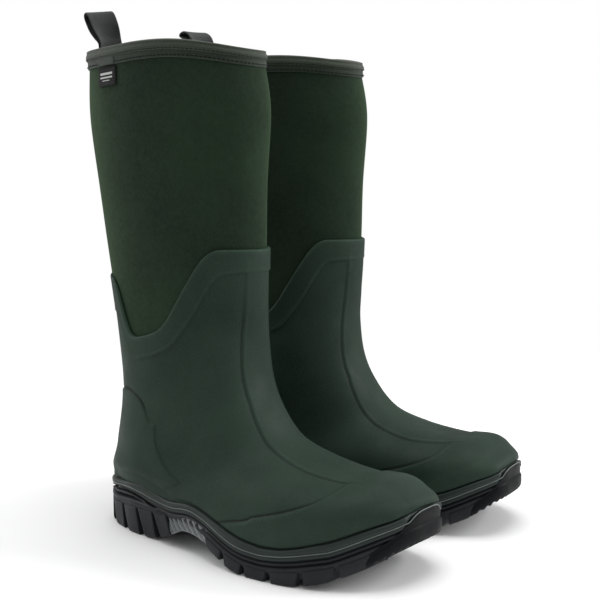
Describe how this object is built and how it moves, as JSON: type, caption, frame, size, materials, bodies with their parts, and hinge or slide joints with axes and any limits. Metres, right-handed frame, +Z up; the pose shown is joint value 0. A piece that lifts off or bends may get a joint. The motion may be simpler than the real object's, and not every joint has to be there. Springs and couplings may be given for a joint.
{
  "type": "insulated hunting boots",
  "caption": "Knee-high insulated rubber hunting boots, a pair: neoprene shaft, moulded rubber lower, cleated sole, rear pull loops and a round open collar.",
  "frame": {"origin": "on the ground under the middle of the pair's bounding box", "axes": "+X towards the toes, +Y to the wearer's left, +Z up; the right boot is on -Y and the left one on +Y"},
  "size_m": [0.3401, 0.2929, 0.4374],
  "materials": {
    "outsole_rubber": "matte moulded rubber",
    "arch_cover_rubber": "satin moulded rubber",
    "midsole_rubber": "matte moulded rubber",
    "rand_rubber": "matte rubber",
    "insole_foam": "felt-topped foam",
    "shell_rubber": "fine matte grain",
    "neoprene_jersey": "knit-faced neoprene, soft velvety sheen",
    "stiffener_board": "fibre board",
    "lining_fleece": "brushed fleece",
    "collar_tape": "knit tape",
    "label_weave": "woven damask",
    "webbing": "twill webbing"
  },
  "bodies": {
    "right_boot": {"right_outsole": "outsole_rubber", "right_arch_cover": "arch_cover_rubber", "right_midsole": "midsole_rubber", "right_rand": "rand_rubber", "right_toe_bumper": "outsole_rubber", "right_rubber_shell": "shell_rubber", "right_edge_band": "shell_rubber", "right_heel_panel": "shell_rubber", "right_toe_cap": "shell_rubber", "right_instep_strip": "shell_rubber", "right_neoprene_sock": "neoprene_jersey", "right_heel_stiffener": "stiffener_board", "right_lining": "lining_fleece", "right_collar_facing": "collar_tape", "right_collar_binding": "collar_tape", "right_back_seam_tape": "neoprene_jersey", "right_label_patch": "collar_tape", "right_pull_loop_anchor": "webbing"},
    "right_insole": {"right_insole": "insole_foam"},
    "right_pull_loop": {"right_pull_loop": "webbing"},
    "right_label": {"right_label": "label_weave"},
    "left_boot": {"left_outsole": "outsole_rubber", "left_arch_cover": "arch_cover_rubber", "left_midsole": "midsole_rubber", "left_rand": "rand_rubber", "left_toe_bumper": "outsole_rubber", "left_rubber_shell": "shell_rubber", "left_edge_band": "shell_rubber", "left_heel_panel": "shell_rubber", "left_toe_cap": "shell_rubber", "left_instep_strip": "shell_rubber", "left_neoprene_sock": "neoprene_jersey", "left_heel_stiffener": "stiffener_board", "left_lining": "lining_fleece", "left_collar_facing": "collar_tape", "left_collar_binding": "collar_tape", "left_back_seam_tape": "neoprene_jersey", "left_label_patch": "collar_tape", "left_pull_loop_anchor": "webbing"},
    "left_insole": {"left_insole": "insole_foam"},
    "left_pull_loop": {"left_pull_loop": "webbing"},
    "left_label": {"left_label": "label_weave"}
  },
  "joints": [
    {"name": "left_boot_lift", "type": "slide", "parent": "right_boot", "child": "left_boot", "axis": [0, 0, 1], "range_m": [0, 0.45]},
    {"name": "right_pull_loop_fold", "type": "hinge", "parent": "right_boot", "child": "right_pull_loop", "pos_m": [-0.15145, -0.07645, 0.4075], "axis": [0, -1, 0], "range_deg": [-105, 72]},
    {"name": "left_pull_loop_fold", "type": "hinge", "parent": "left_boot", "child": "left_pull_loop", "pos_m": [-0.15616, 0.05055, 0.4075], "axis": [0, -1, 0], "range_deg": [-105, 72]},
    {"name": "right_insole_lift", "type": "hinge", "parent": "right_boot", "child": "right_insole", "pos_m": [0.13555, -0.07645, 0.037], "axis": [0, 1, 0], "range_deg": [0, 8]},
    {"name": "left_insole_lift", "type": "hinge", "parent": "left_boot", "child": "left_insole", "pos_m": [0.12893, 0.08354, 0.037], "axis": [-0.1149, 0.9934, 0], "range_deg": [0, 8]},
    {"name": "right_label_flap", "type": "hinge", "parent": "right_boot", "child": "right_label", "pos_m": [-0.10036, -0.12365, 0.38301], "axis": [-0.9692, 0.2454, 0.0227], "range_deg": [0, 45]},
    {"name": "left_label_flap", "type": "hinge", "parent": "left_boot", "child": "left_label", "pos_m": [-0.11084, 0.10331, 0.38301], "axis": [0.9345, 0.3552, -0.0227], "range_deg": [0, 45]}
  ]
}
